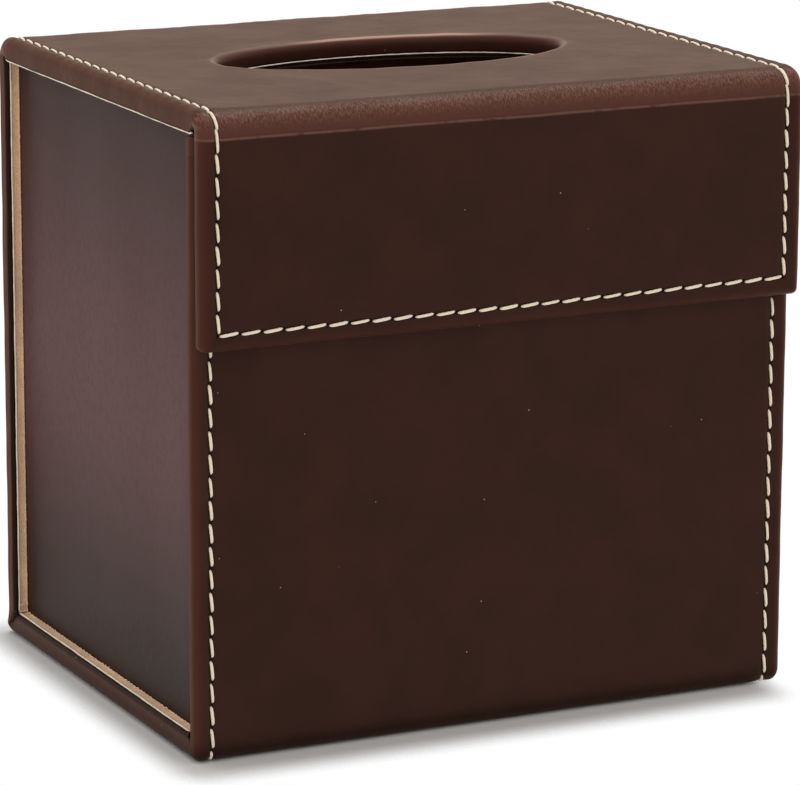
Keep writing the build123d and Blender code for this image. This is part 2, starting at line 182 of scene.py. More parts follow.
class Wrap:
    """The sheet from the rim of the front wall, under the box, up the back, over the lid to the flap's hem.

    A place on it is given by x across the box, run along the sheet and depth under its face, in metres.
    """

    def __init__(self, leather, seam):
        self.leather, self.seam = leather, seam
        self.half_width = FLAP[1].x
        foot, fold = leather.foot_radius, LID[1].z - FLAP[1].z
        point, heading, outward = (np.array(way) for way in ((FRONT[0].y, FRONT[1].z), (0.0, -1.0), (-1.0, 0.0)))
        self.legs, self.span, run = [], {}, 0.0
        for name, straight, bend in (
            ("front", FRONT[1].z - foot, foot),
            ("base", BASE[1].y - BASE[0].y - 2 * foot, foot),
            ("back", FLAP[1].z - foot, fold),
            ("lid", LID[1].y - LID[0].y, fold),
            ("flap", FLAP[1].z - FLAP[0].z, None),
        ):
            self.legs.append((run, run + straight, point, heading, outward, None))
            self.span[name] = (run, run + straight)
            point, run = point + straight * heading, run + straight
            if bend:
                centre, arc = point - bend * outward, bend * math.pi / 2
                self.legs.append((run, run + arc, centre, heading, outward, bend))
                self.span[name + "_bend"] = (run, run + arc)
                point, run = centre + bend * heading, run + arc
                heading, outward = -outward, heading
        self.total = run
        self.seam_start, self.seam_end = seam.inset, self.total - seam.inset
        self.stitches = round((self.seam_end - self.seam_start) / seam.pitch)
        self.spacing = (self.seam_end - self.seam_start) / self.stitches
        self.columns = {-1: seam.inset - self.half_width, 1: self.half_width - seam.inset - seam.drift}
        self.holes = {
            -1: self._needle_holes(seam.left_start, self.seam_end, 0.0),
            1: self._needle_holes(seam.right_start, self.seam_end - seam.drift, seam.foot_slip),
        }
        self.row = self.columns[1] - self.columns[-1]
        self.row_stitches = round(self.row / seam.pitch)
        self.knots = self._thickness_knots()

    def _needle_holes(self, start, end, slip):
        """Runs of the needle holes down one side: closer on the flap, then even to the rim of the front wall.

        slip moves the holes around the front foot towards the back.
        """
        on_flap = 10
        reached = self.seam_end - on_flap * self.seam.flap_pitch
        counts = np.arange(self.stitches + 1)
        holes = np.interp(counts, (0, self.stitches - on_flap, self.stitches), (start, reached, end))
        foot, reach = self.span["front"][1], 85 * MM
        return holes + slip * np.clip(1 - np.abs(holes - foot) / reach, 0, 1)

    def _thickness_knots(self):
        """Runs, and thickness of the wrapped panel there: thinner in the folds that have no board."""
        front, base, back = FRONT[1].y - FRONT[0].y, BASE[1].z - BASE[0].z, BACK[1].y - BACK[0].y
        lid, flap = LID[1].z - LID[0].z, FLAP[1].y - FLAP[0].y
        thin_rear, thin_fore = 0.78 * back, 0.62 * lid
        foot, heel, rear, fore = (self.span[name] for name in ("front", "back", "back_bend", "lid_bend"))
        ease = 2 * MM
        runs = [0, foot[1] - ease, foot[1] + ease, heel[0], heel[0] + ease, rear[0] - ease / 2]
        runs += [sum(rear) / 2, rear[1] + ease / 2, fore[0] - ease / 2, sum(fore) / 2, fore[1] + ease / 2, self.total]
        return runs, (front, front, base, base, back, back, thin_rear, lid, lid, thin_fore, flap, flap)

    def thickness(self, run):
        """Thickness of the wrapped panel."""
        return np.interp(run, *self.knots)

    def on_lid(self, run):
        low, high = self.span["lid"]
        return low < run < high

    def on_floor(self, run):
        """1 where the sheet lies on the floor, 0 on the walls, between them in the foot folds."""
        start, end = self.span["base"]
        return np.clip(np.minimum(run - start, end - run) / self.leather.foot_radius + 1, 0, 1)

    def place(self, x, run, depth):
        """Points in the row frame."""
        x, run, depth = np.broadcast_arrays(np.asarray(x, float), run, depth)
        spot = np.zeros(x.shape + (3,))
        spot[..., 0] = x
        for number, (start, end, origin, heading, outward, bend) in enumerate(self.legs):
            first, last = number == 0, number == len(self.legs) - 1
            here = ((run >= start) | first) & ((run < end) | last)
            along, under = (run[here] - start)[:, None], depth[here][:, None]
            if bend is None:
                if not first:
                    along = np.maximum(along, under - self.legs[number - 1][-1])
                if not last:
                    along = np.minimum(along, end - start - np.maximum(under - self.legs[number + 1][-1], 0))
                spot[here, 1:] = origin + along * heading - under * outward
            else:
                turn = along / bend
                radius, beyond = np.maximum(bend - under, 0), np.maximum(under - bend, 0)
                rim = radius * (np.cos(turn) * outward + np.sin(turn) * heading)
                spot[here, 1:] = origin + rim - beyond * (outward + heading)
        return spot

    def outward(self, run):
        """Unit vector out of the sheet's face at each run."""
        zero = np.zeros_like(run)
        return (self.place(zero, run, zero) - self.place(zero, run, zero + MM)) / MM

    def by_hem(self, x, run):
        """Where the flap's hem is nearer than its sides."""
        return self.total - run < self.half_width - np.abs(x)

    def seam_phase(self, x, run):
        """Place along the seam counted in stitches: down the left column, along the hem, up the right."""
        left, right = (np.interp(run, self.holes[side], np.arange(-self.stitches, 1.0)) for side in (-1, 1))
        hem = np.clip((x - self.columns[-1]) / self.row * self.row_stitches, 0, self.row_stitches)
        return np.where(self.by_hem(x, run), hem, np.where(x < 0, left, self.row_stitches - right))

    def seam_strength(self, x, run):
        """1 along the sewn edges, 0 at the rim of the front wall."""
        return (run > np.maximum(self.half_width - np.abs(x), self.seam_start)).astype(float)

    def strayed(self, x):
        """How much farther in the seam lies: nothing on the left, all of its drift at the right column."""
        return self.seam.drift * np.clip(x / self.columns[1], 0, 1)

    def from_seam(self, x, edge):
        """Distance from the seam, growing inwards."""
        return edge - self.seam.inset - self.strayed(x)

    def notes(self, x, run, edge, lip=0.0, turned=False):
        """What the finish reads: place along the seam, millimetres beside it, redness, share round a fold."""
        beside = np.where(self.seam_strength(x, run) > 0, self.from_seam(x, edge) / MM, NO_SEAM)
        # Turned-in leather is marked here for the finish's painted shade
        beside = np.where(turned, TURNED_IN_SHADE, beside)
        # The hem's roll gets less of the redder edge colour: painted shade where it faces down
        redness = np.where(self.by_hem(x, run), 0.2, 0.5)
        tone = redness * np.clip(1.3 - edge / self.leather.edge_radius, 0, 1)
        folds = []
        for name in ("back_bend", "lid_bend"):
            low, high = self.span[name]
            folds.append(np.clip((run - low) / (high - low), -1, 2))
        fold = np.where(run < sum(self.span["lid"]) / 2, *folds)
        return np.stack(np.broadcast_arrays(self.seam_phase(x, run), beside, np.maximum(tone, lip), fold), axis=-1)

    def seam_depth(self, run):
        """The seam's floor lies deeper under the box, where the thread may not touch the table."""
        return self.seam.groove + self.on_floor(run) * 0.55 * MM

    def creases(self, x, run):
        """Wrinkles that run across the box on the two folds of the lid."""
        total = np.zeros(np.broadcast(x, run).shape)
        for name in ("back_bend", "lid_bend"):
            low, high = self.span[name]
            share = (run - low) / (high - low)
            inside = np.clip(4 * np.minimum(share, 1 - share) + 0.3, 0, 1)
            fine = 0.7 + 0.5 * waver(x / (15 * MM), 0, 1.0)
            total += 0.5 * inside * waver(x / (2.2 * MM), 1.5 * share, 3.0) * fine
            total += 0.6 * inside * waver(x / (9 * MM), 2.5 * share, 5.0)
        hinge_line = self.span["flap"][0] + 0.6 * MM + 0.15 * MM * waver(x / (14 * MM), 0, 9.0)
        return total + 0.7 * hump(run - hinge_line, 0.4 * MM)

    def foot_bulge(self, run):
        """Leather gathered where it turns under the back wall."""
        low, high = self.span["base_bend"]
        return 0.45 * MM * hump(run - (low + high) / 2 - MM, 2.6 * MM)

    def relief(self, x, run, edge):
        """How far the leather stands out of its plain face, from its seam, puffed edge and slow waves."""
        leather, seam = self.leather, self.seam
        phase = self.seam_phase(x, run)
        to_hole = np.abs(phase - np.round(phase)) * seam.pitch
        beside = self.from_seam(x, edge)
        sewn = self.seam_strength(x, run)
        lifted = 1 - self.on_floor(run)
        swell = 0.75 - 0.25 * np.cos(2 * math.pi * phase) * sewn
        outer, inner, width = 0.52 * seam.inset, 1.45 * seam.inset, 0.3 * seam.inset
        height = leather.puff * swell * hump(edge - outer, width)
        height += 0.45 * leather.puff * swell * hump(edge - inner, width)
        height += leather.wave * waver(x / (26 * MM), run / (31 * MM), 1.0) * np.clip(edge / (6 * MM), 0, 1)
        height += 0.4 * leather.puff * waver(x / (9 * MM), run / (7 * MM), 4.0) * np.exp(-edge / seam.inset)
        height += leather.wrinkle * self.creases(x, run)
        height *= lifted
        height += self.foot_bulge(run) * hump(edge, seam.inset)
        height -= sewn * self.seam_depth(run) * hump(beside, 0.75 * MM)
        hole_depth, hole_reach = 0.22 * MM, 0.7 * MM
        pull = np.exp(-(beside**2 + to_hole**2) / hole_reach**2)
        return height - sewn * hole_depth * pull * (0.3 + 0.7 * lifted)


# Mesh making


def shown(name, data):
    """A new object of the scene."""
    made = bpy.data.objects.new(name, data)
    bpy.context.collection.objects.link(made)
    return made


def settle(piece):
    """Turns a piece and its modifiers into a plain mesh."""
    bpy.context.view_layer.update()
    seen = piece.evaluated_get(bpy.context.evaluated_depsgraph_get())
    name, mesh = piece.name, bpy.data.meshes.new_from_object(seen)
    plain = shown(name + "_plain", mesh)
    bpy.data.objects.remove(piece)
    plain.name = mesh.name = name
    return plain


def note(mesh, name, values):
    """Keeps a number or a vector at each point of a mesh."""
    kind, key = ("FLOAT", "value") if values.ndim == 1 else ("FLOAT_VECTOR", "vector")
    mesh.attributes.new(name, kind, "POINT").data.foreach_set(key, values.astype(np.float32).ravel())


def shell(name, sheets, facing, thickness):
    """One closed piece from grids of points: welded where they meet, turned to face outwards, thickened inwards.

    A sheet is (points, values, closed): points is rows by columns by 3, values holds the four numbers that the
    finish reads at each point, and closed joins the last column to the first. facing is the way that the face
    in the middle of the first sheet's first row looks.
    """
    points, values, faces = [], [], []
    for grid, notes, closed in sheets:
        rows, columns = grid.shape[:2]
        number = sum(len(part) for part in points) + np.arange(rows * columns).reshape(rows, columns)
        if closed:
            number = np.hstack((number, number[:, :1]))
        corners = (number[:-1, :-1], number[:-1, 1:], number[1:, 1:], number[1:, :-1])
        faces.append(np.stack([part.ravel() for part in corners], axis=1))
        points.append(grid.reshape(-1, 3))
        values.append(notes.reshape(-1, 4))
    mesh = bpy.data.meshes.new(name)
    mesh.from_pydata(np.vstack(points).tolist(), [], np.vstack(faces).tolist())
    values = np.vstack(values)
    note(mesh, "seam", values[:, :3])
    note(mesh, "fold", values[:, 3])
    work = bmesh.new()
    work.from_mesh(mesh)
    work.faces.ensure_lookup_table()
    first = work.faces[len(sheets[0][0][0]) // 2]
    first.normal_update()
    turned = first.normal.dot(Vector(facing)) < 0
    bmesh.ops.remove_doubles(work, verts=work.verts, dist=1e-6)
    bmesh.ops.dissolve_degenerate(work, edges=work.edges, dist=1e-7)
    if turned:
        bmesh.ops.reverse_faces(work, faces=work.faces)
    work.to_mesh(mesh)
    work.free()
    mesh.shade_smooth()
    piece = shown(name, mesh)
    skin = piece.modifiers.new("thickness", "SOLIDIFY")
    skin.thickness, skin.offset, skin.use_rim = thickness, -1, True
    piece = settle(piece)
    piece.data.set_sharp_from_angle(angle=math.radians(48))
    return piece


def bead(name, paths, radius):
    """Thin round edges that follow paths of points, slightly uneven in thickness."""
    curve = bpy.data.curves.new(name, "CURVE")
    curve.dimensions, curve.bevel_depth, curve.bevel_resolution = "3D", radius, 2
    curve.use_fill_caps = True
    for path in paths:
        line = curve.splines.new("POLY")
        line.points.add(len(path) - 1)
        line.points.foreach_set("co", np.hstack((path, np.ones((len(path), 1)))).ravel())
        line.points.foreach_set("radius", 1 + 0.25 * waver(np.arange(len(path)) * 0.9, len(path), 1.0))
    piece = settle(shown(name, curve))
    piece.data.shade_smooth()
    return piece


# Sheets of leather and suede


def edge_profile(leather, seam):
    """Points over a rolled edge, from the turned-in side to the face.

    Each is (distance from the edge, depth, share of the panel's thickness added to the depth,
    outward direction across the edge, outward direction in depth).
    """
    outer, inner, roll = leather.edge_radius, leather.turned_radius, leather.edge_roll
    rows = [(roll, -0.9 * MM, 1, 1, 0), (roll, -0.1 * MM, 1, 0.5, 0.5)]
    for turn in np.radians((90, 60, 30, 0)):
        reach, rise = math.cos(turn), math.sin(turn)
        rows.append((inner - inner * reach, inner * rise - inner, 1, -reach, rise))
    for share in (0.66, 0.33):
        rows.append((0, outer * (1 - share) - inner * share, share, -1, 0))
    for turn in np.radians((0, 15, 30, 45, 60, 75, 90)):
        reach, rise = math.cos(turn), math.sin(turn)
        rows.append((outer - outer * reach, outer - outer * rise, 0, -reach, -rise))
    for part in (0.66, 0.75, 0.83, 0.9, 0.95, 1.0, 1.06, 1.12, 1.18, 1.24, 1.31, 1.45, 1.7, 2.0, 2.5):
        rows.append((part * seam.inset, 0, 0, 0, -1))
    return np.array(rows)


def stations(wrap, start, end, per_stitch, bend_steps):
    """Runs from start to end that meet the needle holes and are finer in the bends."""
    step = wrap.spacing / per_stitch
    first, last = math.ceil((start - wrap.seam_start) / step), math.floor((end - wrap.seam_start) / step)
    runs = [start, end] + [wrap.seam_start + k * step for k in range(first, last + 1)]
    for name in ("front_bend", "base_bend", "back_bend", "lid_bend"):
        runs += [run for run in np.linspace(*wrap.span[name], bend_steps + 1) if start < run < end]
    runs, closest = sorted(runs), 0.12 * MM
    kept = [runs[0]]
    for run in runs[1:]:
        if run - kept[-1] > closest:
            kept.append(run)
    kept[-1] = end
    return np.array(kept)


def face_points(wrap, x, run, edge, profile=(0.0, 0.0, 0.0, -1.0)):
    """Leather points and their notes, from the plain shape plus the relief; a flat face unless told otherwise."""
    plain, share, way_across, way_deep = profile
    height = wrap.relief(x, run, edge)
    depth = plain + share * wrap.thickness(run) + height * way_deep
    spot = wrap.place(x - np.sign(x) * height * way_across, run, depth)
    return spot, wrap.notes(x, run, edge, turned=share == 1)


def strip_sheets(wrap, runs, columns, hollow=False):
    """The sheet between two runs with both rolled edges, and its middle unless hollow."""
    profile = edge_profile(wrap.leather, wrap.seam)
    sheets = []
    for side in (-1, 1):
        run, edge = np.meshgrid(runs, profile[:, 0], indexing="ij")
        x = side * (wrap.half_width - edge)
        across = [np.broadcast_to(profile[:, k], x.shape) for k in (1, 2, 3, 4)]
        spot, notes = face_points(wrap, x, run, edge, across)
        sheets.append((spot[:, ::-side], notes[:, ::-side], False))
    if not hollow:
        inner = wrap.half_width - profile[-1, 0]
        run, x = np.meshgrid(runs, np.linspace(-inner, inner, columns), indexing="ij")
        sheets.insert(0, (*face_points(wrap, x, run, wrap.half_width - np.abs(x)), False))
    return sheets


def pulled(place, corner, edge, reach):
    """A place along a side, drawn in near the corner so that inner rings fit between inner corners."""
    start = np.maximum(corner, edge)
    share = np.clip((place - corner) / reach, 0, 1)
    return np.where(place < corner + reach, start + share * (corner + reach - start), place)


def ended_sheets(wrap, runs, columns, hem):
    """The sheet with a free end that is rolled too: the hem of the flap, or the rim of the front wall."""
    profile = edge_profile(wrap.leather, wrap.seam)
    corner, reach, half = wrap.leather.corner_radius, 14 * MM, wrap.half_width
    end = wrap.total if hem else 0.0
    away = np.abs(runs - end)
    sides = np.append(np.sort(away[away > corner])[::-1], corner)
    along = np.linspace(corner - half, half - corner, columns)
    arc = np.radians((15, 30, 45, 60, 75))

    def down_and_across(edge):
        """Distances from the free end along a side, and x along that end, at a distance from the edge."""
        span = np.sign(along) * (half - pulled(half - np.abs(along), corner, edge, reach))
        return pulled(sides, corner, edge, reach), span

    def ring(edge):
        """x and distance from the free end, round three sides at a distance from the edge."""
        hub = max(corner, edge)
        down, span = down_and_across(edge)
        left = np.append(np.full(len(down), edge - half), hub - half - (hub - edge) * np.cos(arc))
        rise = np.append(down, hub - (hub - edge) * np.sin(arc))
        x = np.concatenate((left, span, -left[::-1]))
        return x, np.concatenate((rise, np.full(columns, edge), rise[::-1]))

    def shifted(edge, shift):
        """Points of a ring moved inwards by shift, each square to its own side."""
        x, away = ring(edge)
        inner_x, inner_away = ring(edge + MM)
        way = np.stack((inner_x - x, inner_away - away))
        step = shift * way / np.maximum(np.hypot(*way), 1e-9)
        return x + step[0], away + step[1]

    spots, notes = [], []
    for edge, deep, share, way_across, way_deep in profile:
        x, away = ring(edge)
        run = np.abs(end - away)
        height = wrap.relief(x, run, edge)
        x, away = shifted(edge, height * way_across)
        depth = deep + share * wrap.thickness(run) + height * way_deep
        spots.append(wrap.place(x, np.abs(end - away), depth))
        notes.append(wrap.notes(x, run, edge, turned=share == 1))
    edge = profile[-1, 0]
    down, span = down_and_across(edge)
    away, x = np.meshgrid(np.append(down, edge), np.concatenate(([edge - half], span, [half - edge])), indexing="ij")
    middle = face_points(wrap, x, np.abs(end - away), np.minimum(half - np.abs(x), away))
    return [(*middle, False), (np.array(spots)[::-1], np.array(notes)[::-1], False)]


def border(u, v):
    """u and v round the border of a grid."""
    others = len(u) - 2
    around_u = np.concatenate((np.full(len(v), u[-1]), u[::-1][1:-1], np.full(len(v), u[0]), u[1:-1]))
    return around_u, np.concatenate((v, np.full(others, v[-1]), v[::-1], np.full(others, v[0])))


def slot_sheets(wrap, slot, runs, columns):
    """The lid's sheet: two rolled edges, the face round the oval, and its turned-in lip."""
    inner = wrap.half_width - edge_profile(wrap.leather, wrap.seam)[-1, 0]
    x, run = border(np.linspace(-inner, inner, columns), runs)
    middle = sum(wrap.span["lid"]) / 2
    turn = np.arctan2((run - middle) / slot.depth, (x - slot.aside) / slot.width)
    turn_x, turn_run = np.cos(turn), np.sin(turn)

    def oval(grown, depth, way_across, way_deep):
        """A ring round the opening, grown by a margin."""
        rim_x, rim_run = slot.aside + (slot.width / 2 + grown) * turn_x, middle + (slot.depth / 2 + grown) * turn_run
        return rim_x, rim_run, depth, way_across, way_deep, 0.0

    rim_x, rim_run = oval(slot.lip, 0.0, 0.0, -1.0)[:2]
    rings = []
    for share in 1 - np.linspace(1, 0, 16) ** 1.6:
        from_lip = (1 - share) * 30 * MM
        rings.append((x + share * (rim_x - x), run + share * (rim_run - run), 0.0, 0.0, -1.0, from_lip))
    for turned in np.radians((15, 30, 45, 60, 75, 90)):
        rise, reach = math.sin(turned), math.cos(turned)
        rings.append(oval(slot.lip * (1 - rise), slot.lip * (1 - reach), -rise, -reach))
    floor = wrap.thickness(middle) - 0.5 * MM
    for share in (0.2, 0.4, 0.6, 0.8, 1.0):
        rings.append(oval(0.0, slot.lip + share * (floor - slot.lip), -1.0, 0.0))
    spots, notes = [], []
    for ring_x, ring_run, depth, way_across, way_deep, from_lip in rings:
        edge = wrap.half_width - np.abs(ring_x)
        height = wrap.relief(ring_x, ring_run, np.maximum(edge, 10 * MM))
        height = height + 0.08 * MM * hump(from_lip, 2.2 * MM)
        height = height + 0.08 * MM * waver(8 * turn_x, 8 * turn_run, 3.0) * np.exp(-from_lip / (3 * MM))
        push = way_across * height
        spots.append(wrap.place(ring_x + push * turn_x, ring_run + push * turn_run, depth + height * way_deep))
        lip = 0.8 * np.exp(-from_lip / (1.4 * MM)) * (1 - min(depth / (1.6 * slot.lip), 1.0))
        # The deep wall of the opening is marked as turned in, for the finish's painted shade
        notes.append(wrap.notes(ring_x, ring_run, 10 * MM, lip, turned=depth > 2 * slot.lip))
    return [(np.array(spots), np.array(notes), True)] + strip_sheets(wrap, runs, columns, hollow=True)


def plain_notes(points):
    """Notes of a sheet that has no seam."""
    return np.zeros(points.shape[:2] + (4,)) + (0.0, NO_SEAM, 0.0, -1.0)


def side_sheets(side, radius):
    """Skin of a side panel, set back from the wrap, turned over the panel's top edge."""
    low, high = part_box(("left" if side < 0 else "right") + "_side_leather")
    face, back = (low.x, high.x) if side < 0 else (high.x, low.x)

    def rounding(x, side, degrees):
        """Points over one border of the top edge, with the way that the leather looks there."""
        points = []
        for turn in np.radians(degrees):
            reach, rise = math.cos(turn), math.sin(turn)
            points.append((x - side * radius * (1 - reach), high.z - radius * (1 - rise), side * reach, rise))
        return points

    section = [(face, z, side, 0.0) for z in np.linspace(low.z, high.z - radius, 48)]
    section += rounding(face, side, (22, 45, 67, 90))
    section += [(x, high.z, 0.0, 1.0) for x in np.linspace(face, back, 7)[2:-1]]
    section += rounding(back, -side, (90, 60, 30, 0))
    y = np.linspace(low.y, high.y, 48)[:, None]
    x, z, way_x, way_z = (part[None, :] + 0 * y for part in np.transpose(section))
    inset = np.minimum(np.minimum(y - low.y, high.y - y), z - low.z)
    height = 0.2 * MM * waver(y / (22 * MM), z / (34 * MM), 2.0 + side) * np.clip(inset / (8 * MM), 0, 1)
    height += 0.12 * MM * (1 - np.exp(-inset / (2 * MM))) - 0.12 * MM
    points = np.stack((x + height * way_x, y + 0 * x, z + height * way_z), axis=-1)
    return [(points, plain_notes(points), False)]


def fold_lining_sheets(wrap, low, high):
    """Suede inside a leather hinge."""
    reach = wrap.half_width - wrap.leather.edge_roll
    run, x = np.meshgrid(np.linspace(low, high, 14), np.linspace(-reach, reach, 80), indexing="ij")
    depth = 1.5 * MM + 0.15 * MM * waver(x / (7 * MM), run / (2 * MM), 6.0)
    points = wrap.place(x, run, depth)[:, ::-1]
    return [(points, plain_notes(points), False)]


def lining_sheets(low, high, axis, sign, seed, hole=None):
    """Suede over the inner face of a panel, slightly uneven and rounded at its borders.

    hole is the width, depth and middle of an oval opening, whose rim the finish paints near black as shade.
    """
    first, second = [k for k in range(3) if k != axis]
    u = np.linspace(low[first], high[first], 72)
    v = np.linspace(low[second], high[second], 56)
    if hole is None:
        u, v = np.meshgrid(u, v, indexing="ij")
    else:
        width, depth, aside = hole
        across, along = border(u, v)
        turn = np.arctan2(along / depth, (across - aside) / width)
        share = np.linspace(0, 1, 20)[:, None]
        u = across + share * (aside + width / 2 * np.cos(turn) - across)
        v = along + share * (depth / 2 * np.sin(turn) - along)
    inset = np.minimum(np.minimum(u - low[first], high[first] - u), np.minimum(v - low[second], high[second] - v))
    height = 0.12 * MM * waver(u / (17 * MM), v / (13 * MM), seed)
    height += 0.06 * MM * waver(u / (3 * MM), v / (4 * MM), seed + 2)
    height -= 0.25 * MM * np.exp(-inset / (0.6 * MM))
    points = np.zeros(u.shape + (3,))
    points[..., first], points[..., second] = u, v
    points[..., axis] = (high if sign > 0 else low)[axis] + sign * height
    notes = plain_notes(points)
    if hole is not None:
        # Marks the opening's rim for painted shade
        notes[-1, :, 2] = 1.0
    return [(points, notes, hole is not None)]


# Node trees


class Sum:
    """A socket that can be added to, multiplied and so on."""

    def __init__(self, nodes, socket):
        self.nodes, self.socket = nodes, socket

    def __add__(self, other):
        return self.nodes.maths("ADD", self, other)

    def __radd__(self, other):
        return self.nodes.maths("ADD", other, self)

    def __sub__(self, other):
        return self.nodes.maths("SUBTRACT", self, other)

    def __rsub__(self, other):
        return self.nodes.maths("SUBTRACT", other, self)

    def __mul__(self, other):
        return self.nodes.maths("MULTIPLY", self, other)

    def __rmul__(self, other):
        return self.nodes.maths("MULTIPLY", other, self)

    def __abs__(self):
        return self.nodes.maths("ABSOLUTE", self)

    def rising(self, low, high):
        """0 below low, 1 above high, smooth between. Falls instead where high is the smaller."""
        ends = {"From_Min": min(low, high), "From_Max": max(low, high)}
        ends.update(To_Min=float(high < low), To_Max=float(low <= high))
        settings = {"interpolation_type": "SMOOTHSTEP"}
        return Sum(self.nodes, self.nodes.node("ShaderNodeMapRange", settings, Value=self, **ends)["Result"])


class Nodes:
    """A node tree under construction."""

    def __init__(self, tree):
        self.tree = tree

    def join(self, value, socket):
        """Sets a constant on an input, or links a socket to it."""
        if isinstance(value, Sum):
            value = value.socket
        if isinstance(value, bpy.types.NodeSocket):
            self.tree.links.new(value, socket)
        else:
            socket.default_value = value

    def node(self, kind, settings=None, *numbered, **named):
        """Adds a node and gives its outputs.

        Its settings are set first, then constants or sockets by place or by name with _ for a space.
        """
        made = self.tree.nodes.new(kind)
        for key, value in (settings or {}).items():
            setattr(made, key, value)
        for place, value in enumerate(numbered):
            self.join(value, made.inputs[place])
        for key, value in named.items():
            self.join(value, made.inputs[key.replace("_", " ")])
        return made.outputs

    def maths(self, operation, *values):
        """A sum of numbers."""
        return Sum(self, self.node("ShaderNodeMath", {"operation": operation}, *values)[0])

    def vector(self, operation, *values, **named):
        """A sum of vectors."""
        return self.node("ShaderNodeVectorMath", {"operation": operation}, *values, **named)[0]

    def mix(self, share, first, second, blend="MIX"):
        """A colour between two colours."""
        made = self.tree.nodes.new("ShaderNodeMix")
        made.data_type, made.blend_type = "RGBA", blend
        for value, place in ((share, 0), (first, 6), (second, 7)):
            self.join((*value, 1.0) if isinstance(value, tuple) else value, made.inputs[place])
        return made.outputs[2]

    def layered(self, base, *layers):
        """A colour with others laid over it, each given after its share."""
        for share, over in layers:
            base = self.mix(share, base, over)
        return base


# Stitching with Geometry Nodes


class Stitcher(Nodes):
    """A geometry tree that turns short chains of edges, one for each stitch, into arched and tapered threads."""

    inputs = (
        ("Thread", "Float", "Diameter of the thread"),
        ("Arch", "Float", "Rise of the middle over the ends"),
        ("Lean", "Float", "Sideways step over one stitch"),
        ("Seed", "Int", "Seed of the small differences"),
        ("Material", "Material", "Finish of the thread"),
    )

    def __init__(self):
        super().__init__(bpy.data.node_groups.new("saddle_stitches", "GeometryNodeTree"))
        self.sockets = {}
        interface = self.tree.interface
        interface.new_socket("Geometry", in_out="INPUT", socket_type="NodeSocketGeometry")
        for title, kind, description in self.inputs:
            socket = interface.new_socket(title, in_out="INPUT", socket_type="NodeSocket" + kind)
            socket.description = description
            self.sockets[title] = socket.identifier
        interface.new_socket("Geometry", in_out="OUTPUT", socket_type="NodeSocketGeometry")
        given = self.node("NodeGroupInput")
        arched, along, size = self.arched(given)
        threads, turn, along = self.threads(arched, along, size)
        ply = self.node("ShaderNodeCombineXYZ", X=self.maths("COSINE", turn), Y=self.maths("SINE", turn), Z=along)[0]
        settings = {"data_type": "FLOAT_VECTOR", "domain": "POINT"}
        stored = self.node("GeometryNodeStoreNamedAttribute", settings, Geometry=threads, Name="ply", Value=ply)[0]
        smooth = self.node("GeometryNodeSetShadeSmooth", Geometry=stored)[0]
        real = self.node("GeometryNodeRealizeInstances", Geometry=smooth)[0]
        finished = self.node("GeometryNodeSetMaterial", Geometry=real, Material=given["Material"])[0]
        self.node("NodeGroupOutput", None, finished)

    def named(self, name, kind):
        """An attribute of the chains."""
        return self.node("GeometryNodeInputNamedAttribute", {"data_type": kind}, Name=name)[0]

    def kept(self, geometry, title, value):
        """Keeps a number on geometry: gives the geometry and the number."""
        made = self.tree.nodes.new("GeometryNodeCaptureAttribute")
        made.capture_items.new("FLOAT", title)
        self.join(geometry, made.inputs["Geometry"])
        self.join(value, made.inputs[title])
        return made.outputs[0], made.outputs[title]

    def arched(self, given):
        """Curves that rise in their middle and lean, the place along them, and their slightly different radius."""
        chains = self.node("GeometryNodeMeshToCurve", Mesh=given["Geometry"])[0]
        chains = self.node("GeometryNodeResampleCurve", Curve=chains, Count=13)[0]
        along = self.node("GeometryNodeSplineParameter")["Factor"]
        centred = self.maths("MULTIPLY_ADD", along, 2.0, -1.0)
        ends = self.maths("POWER", abs(centred), 4.0)
        number = self.node("FunctionNodeFloatToInt", Float=self.named("number", "FLOAT"))[0]
        chance = self.node("FunctionNodeRandomValue", {"data_type": "FLOAT"}, ID=number, Seed=given["Seed"])[1]
        vary = self.maths("MULTIPLY_ADD", chance, 0.18, 0.91)
        rise = self.maths("MULTIPLY_ADD", ends, -1.0, 0.27) * given["Arch"]
        outward = self.named("outward", "FLOAT_VECTOR")
        aside = self.vector("CROSS_PRODUCT", self.node("GeometryNodeInputTangent")[0], outward)
        slip = centred * -0.5 * (self.maths("MULTIPLY", given["Lean"], vary) * self.named("slant", "FLOAT"))
        shift = self.vector("ADD", self.vector("SCALE", outward, Scale=rise), self.vector("SCALE", aside, Scale=slip))
        arched = self.node("GeometryNodeSetPosition", Geometry=chains, Offset=shift)[0]
        taper = self.maths("MULTIPLY_ADD", self.maths("POWER", ends, 1.7), -0.5, 1.0)
        return arched, along, taper * vary * self.maths("MULTIPLY", given["Thread"], 0.5)

    def threads(self, arched, along, radius):
        """Round threads along the curves, the turn round them, and the place along them."""
        main, along = self.kept(arched, "along", along)
        circle = self.node("GeometryNodeCurvePrimitiveCircle", Resolution=8, Radius=1.0)[0]
        around = self.node("GeometryNodeSplineParameter")["Factor"]
        ring, around = self.kept(circle, "around", around)
        tube = self.node("GeometryNodeCurveToMesh", Curve=main, Profile_Curve=ring, Scale=radius, Fill_Caps=True)[0]
        return tube, self.maths("MULTIPLY", around, 2 * math.pi), along


def stitch_chain(wrap, x, run, reverse):
    """Points from one needle hole to the next, the way out of the leather at each, and the stitch's slant."""
    above_floor, slant = (0.16 * MM, -1.6) if wrap.on_lid((run[0] + run[-1]) / 2) else (0.28 * MM, 1.0)
    spots, ways = wrap.place(x, run, wrap.seam_depth(run) - above_floor), wrap.outward(run)
    return (spots[::-1], ways[::-1], slant) if reverse else (spots, ways, slant)


